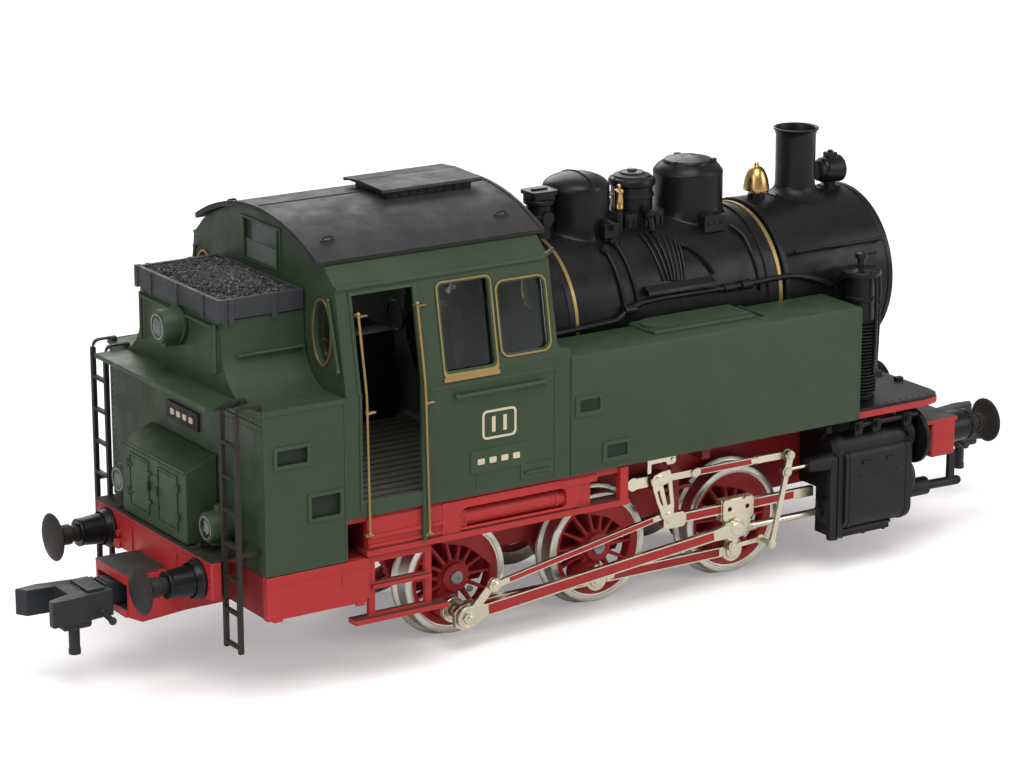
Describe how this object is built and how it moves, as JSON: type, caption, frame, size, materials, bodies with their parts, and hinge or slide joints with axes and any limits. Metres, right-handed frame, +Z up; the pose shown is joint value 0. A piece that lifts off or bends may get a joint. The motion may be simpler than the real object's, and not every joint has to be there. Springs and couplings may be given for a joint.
{
  "type": "model steam tank locomotive",
  "caption": "Model six-wheel steam tank locomotive with outside cylinders, coupled wheels, rods and valve gear, side tanks, cab and coal bunker.",
  "frame": {"origin": "under the middle of the engine between the coupler tips, on the centre line, at the height of the wheel flanges' lowest points; the middle axle is straight above it", "axes": "+X forward to the chimney end, +Y to the engine's left, +Z up"},
  "size_m": [0.347, 0.0936, 0.1331],
  "materials": {
    "body_green": "satin paint",
    "brass": "polished",
    "chassis_red": "satin paint",
    "coal": "rough, glinting",
    "coal_boards": "matt",
    "coupler_black": "moulded matt",
    "engine_black": "satin paint",
    "motion_nickel": "plated, lightly worn",
    "motor_steel": "drawn steel",
    "roof_grey": "matt paint"
  },
  "bodies": {
    "engine_frame": {"main_frame": "chassis_red", "footplate": "chassis_red", "front_footplate": "engine_black", "tank_right": "body_green", "tank_left": "body_green", "cab_body": "body_green", "cab_roof": "roof_grey", "roof_ventilator": "roof_grey", "rear_bunker": "body_green", "coal_box": "coal_boards", "coal_load": "coal", "toolbox": "body_green", "boiler": "engine_black", "backhead": "engine_black", "smokebox": "engine_black", "chimney": "engine_black", "steam_dome": "engine_black", "feed_dome": "engine_black", "sand_dome": "engine_black", "safety_valve": "engine_black", "bell": "brass", "whistle": "brass", "headlamp": "engine_black", "air_pump": "engine_black", "cylinder_right": "engine_black", "cylinder_left": "engine_black", "slidebar_right": "motion_nickel", "slidebar_left": "motion_nickel", "ladder_right": "engine_black", "ladder_left": "engine_black", "cab_steps_right": "chassis_red", "cab_steps_left": "chassis_red", "drive_motor": "motor_steel"},
    "wheelset_rear": {"wheelset_rear": "chassis_red", "drive_gear": "brass", "return_crank_right": "motion_nickel", "return_crank_left": "motion_nickel"},
    "wheelset_middle": {"wheelset_middle": "chassis_red"},
    "wheelset_front": {"wheelset_front": "chassis_red"},
    "smokebox_door": {"smokebox_door": "engine_black"},
    "coupling_rod_right": {"coupling_rod_right": "motion_nickel"},
    "main_rod_right": {"main_rod_right": "motion_nickel"},
    "eccentric_rod_right": {"eccentric_rod_right": "motion_nickel"},
    "crosshead_right": {"crosshead_right": "motion_nickel"},
    "combination_lever_right": {"combination_lever_right": "motion_nickel"},
    "radius_rod_right": {"radius_rod_right": "motion_nickel"},
    "expansion_link_right": {"expansion_link_right": "motion_nickel"},
    "coupling_rod_left": {"coupling_rod_left": "motion_nickel"},
    "main_rod_left": {"main_rod_left": "motion_nickel"},
    "eccentric_rod_left": {"eccentric_rod_left": "motion_nickel"},
    "crosshead_left": {"crosshead_left": "motion_nickel"},
    "combination_lever_left": {"combination_lever_left": "motion_nickel"},
    "radius_rod_left": {"radius_rod_left": "motion_nickel"},
    "expansion_link_left": {"expansion_link_left": "motion_nickel"},
    "buffer_rear_right": {"buffer_rear_right": "engine_black"},
    "buffer_rear_left": {"buffer_rear_left": "engine_black"},
    "buffer_front_right": {"buffer_front_right": "engine_black"},
    "buffer_front_left": {"buffer_front_left": "engine_black"},
    "coupler_rear": {"coupler_rear": "coupler_black"},
    "coupler_front": {"coupler_front": "coupler_black"}
  },
  "joints": [
    {"name": "wheel_spin", "type": "hinge", "parent": "engine_frame", "child": "wheelset_rear", "pos_m": [-0.05, 0, 0.0187], "axis": [0, 1, 0], "continuous": true},
    {"name": "middle_wheel_spin", "type": "hinge", "parent": "engine_frame", "child": "wheelset_middle", "pos_m": [0, 0, 0.0187], "axis": [0, 1, 0], "continuous": true},
    {"name": "front_wheel_spin", "type": "hinge", "parent": "engine_frame", "child": "wheelset_front", "pos_m": [0.05, 0, 0.0187], "axis": [0, 1, 0], "continuous": true},
    {"name": "coupling_rod_right_pin", "type": "hinge", "parent": "wheelset_rear", "child": "coupling_rod_right", "pos_m": [-0.05408, -0.0308, 0.01102], "axis": [0, 1, 0], "continuous": true},
    {"name": "main_rod_right_pin", "type": "hinge", "parent": "wheelset_rear", "child": "main_rod_right", "pos_m": [-0.05408, -0.0377, 0.01102], "axis": [0, 1, 0], "continuous": true},
    {"name": "eccentric_rod_right_pin", "type": "hinge", "parent": "wheelset_rear", "child": "eccentric_rod_right", "pos_m": [-0.04571, -0.0405, 0.0197], "axis": [0, 1, 0], "continuous": true},
    {"name": "crosshead_slide_right", "type": "slide", "parent": "engine_frame", "child": "crosshead_right", "axis": [1, 0, 0], "range_m": [-0.0042, 0.0132]},
    {"name": "combination_lever_swing_right", "type": "hinge", "parent": "engine_frame", "child": "combination_lever_right", "pos_m": [0.0582, -0.0418, 0.0365], "axis": [0, -1, 0], "range_deg": [-11.5, 34.5]},
    {"name": "radius_rod_slide_right", "type": "slide", "parent": "engine_frame", "child": "radius_rod_right", "axis": [1, 0, 0], "range_m": [-0.00312, 0.00113]},
    {"name": "expansion_link_swing_right", "type": "hinge", "parent": "engine_frame", "child": "expansion_link_right", "pos_m": [0.0108, -0.0418, 0.0417], "axis": [0, -1, 0], "range_deg": [-45.5, 0]},
    {"name": "coupling_rod_left_pin", "type": "hinge", "parent": "wheelset_rear", "child": "coupling_rod_left", "pos_m": [-0.04232, 0.0308, 0.01462], "axis": [0, 1, 0], "continuous": true},
    {"name": "main_rod_left_pin", "type": "hinge", "parent": "wheelset_rear", "child": "main_rod_left", "pos_m": [-0.04232, 0.0377, 0.01462], "axis": [0, 1, 0], "continuous": true},
    {"name": "eccentric_rod_left_pin", "type": "hinge", "parent": "wheelset_rear", "child": "eccentric_rod_left", "pos_m": [-0.051, 0.0405, 0.023], "axis": [0, 1, 0], "continuous": true},
    {"name": "crosshead_slide_left", "type": "slide", "parent": "engine_frame", "child": "crosshead_left", "axis": [1, 0, 0], "range_m": [-0.0163, 0.0011]},
    {"name": "combination_lever_swing_left", "type": "hinge", "parent": "engine_frame", "child": "combination_lever_left", "pos_m": [0.0582, 0.0418, 0.0365], "axis": [0, -1, 0], "range_deg": [-42.5, 3.5]},
    {"name": "radius_rod_slide_left", "type": "slide", "parent": "engine_frame", "child": "radius_rod_left", "axis": [1, 0, 0], "range_m": [-0.00044, 0.00381]},
    {"name": "expansion_link_swing_left", "type": "hinge", "parent": "engine_frame", "child": "expansion_link_left", "pos_m": [0.0108, 0.0418, 0.0417], "axis": [0, -1, 0], "range_deg": [-22.4, 23.1]},
    {"name": "buffer_rear_right_press", "type": "slide", "parent": "engine_frame", "child": "buffer_rear_right", "axis": [1, 0, 0], "range_m": [0, 0.0019], "stiffness_N_per_m": 300, "springref_m": -0.001},
    {"name": "buffer_rear_left_press", "type": "slide", "parent": "engine_frame", "child": "buffer_rear_left", "axis": [1, 0, 0], "range_m": [0, 0.0019], "stiffness_N_per_m": 300, "springref_m": -0.001},
    {"name": "buffer_front_right_press", "type": "slide", "parent": "engine_frame", "child": "buffer_front_right", "axis": [-1, 0, 0], "range_m": [0, 0.003], "stiffness_N_per_m": 300, "springref_m": -0.001},
    {"name": "buffer_front_left_press", "type": "slide", "parent": "engine_frame", "child": "buffer_front_left", "axis": [-1, 0, 0], "range_m": [0, 0.003], "stiffness_N_per_m": 300, "springref_m": -0.001},
    {"name": "coupler_rear_swing", "type": "hinge", "parent": "engine_frame", "child": "coupler_rear", "pos_m": [-0.1395, 0, 0.0261], "axis": [0, 0, 1], "range_deg": [-10, 10]},
    {"name": "coupler_front_swing", "type": "hinge", "parent": "engine_frame", "child": "coupler_front", "pos_m": [0.128, 0, 0.0261], "axis": [0, 0, 1], "range_deg": [-10, 10]},
    {"name": "smokebox_door_swing", "type": "hinge", "parent": "engine_frame", "child": "smokebox_door", "pos_m": [0.1117, 0.0244, 0.0858], "axis": [0, 0, 1], "range_deg": [0, 100]}
  ],
  "couplings": [
    {"joint": "middle_wheel_spin", "follows": "wheel_spin", "ratio": 1},
    {"joint": "front_wheel_spin", "follows": "wheel_spin", "ratio": 1},
    {"joint": "coupling_rod_right_pin", "follows": "wheel_spin", "ratio": -1},
    {"joint": "main_rod_right_pin", "follows": "wheel_spin", "ratio": -1},
    {"joint": "eccentric_rod_right_pin", "follows": "wheel_spin", "ratio": -1},
    {"joint": "combination_lever_swing_right", "follows": "crosshead_slide_right", "rad_per_m": 44.27},
    {"joint": "radius_rod_slide_right", "follows": "crosshead_slide_right", "ratio": -0.2212},
    {"joint": "coupling_rod_left_pin", "follows": "wheel_spin", "ratio": -1},
    {"joint": "main_rod_left_pin", "follows": "wheel_spin", "ratio": -1},
    {"joint": "eccentric_rod_left_pin", "follows": "wheel_spin", "ratio": -1},
    {"joint": "combination_lever_swing_left", "follows": "crosshead_slide_left", "rad_per_m": 44.27},
    {"joint": "radius_rod_slide_left", "follows": "crosshead_slide_left", "ratio": -0.2212}
  ]
}
